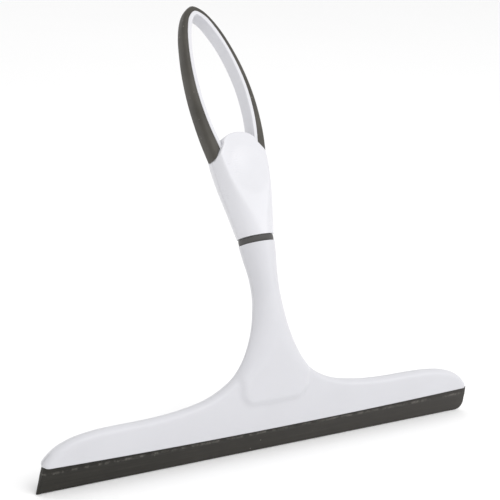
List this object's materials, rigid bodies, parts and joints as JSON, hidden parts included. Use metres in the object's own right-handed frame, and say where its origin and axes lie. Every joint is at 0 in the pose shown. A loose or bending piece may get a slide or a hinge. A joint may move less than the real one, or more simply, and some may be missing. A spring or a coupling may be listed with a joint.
{
  "type": "window cleaning squeegee",
  "caption": "Hand squeegee with a winged white head, a flexible rubber blade and a bowed handle that opens into a soft-edged hanging loop.",
  "frame": {"origin": "middle of the wiping edge of the blade", "axes": "+X along the blade to the user's right, +Z from the wiping edge up through the wings, -Y the user's side of the head with the thumb dish, +Y the side the handle leans to"},
  "size_m": [0.28, 0.1172, 0.2236],
  "materials": {
    "white_plastic": "satin white moulded plastic",
    "inner_plastic": "plain white moulded plastic",
    "dark_rubber": "matt dark grey rubber",
    "soft_grip": "matt warm grey soft grip",
    "screw_steel": "plated steel"
  },
  "bodies": {
    "tool": {"head_front_shell": "white_plastic", "head_rear_shell": "white_plastic", "collar_ring": "soft_grip", "coupling_spigot": "inner_plastic", "spigot_screw": "screw_steel", "handle_core": "inner_plastic", "handle_front_cover": "white_plastic", "handle_rear_cover": "white_plastic", "loop_frame": "white_plastic", "loop_grip": "soft_grip"},
    "strip": {"blade_strip_body": "dark_rubber"},
    "lip": {"blade_wiping_lip": "dark_rubber"}
  },
  "joints": [
    {"name": "blade_slide", "type": "slide", "parent": "tool", "child": "strip", "axis": [1, 0, 0], "range_m": [-0.28, 0.28]},
    {"name": "lip_flex", "type": "hinge", "parent": "strip", "child": "lip", "pos_m": [0, 0, 0.0086], "axis": [1, 0, 0], "range_deg": [-35, 35], "stiffness_Nm_per_rad": 0.6}
  ]
}
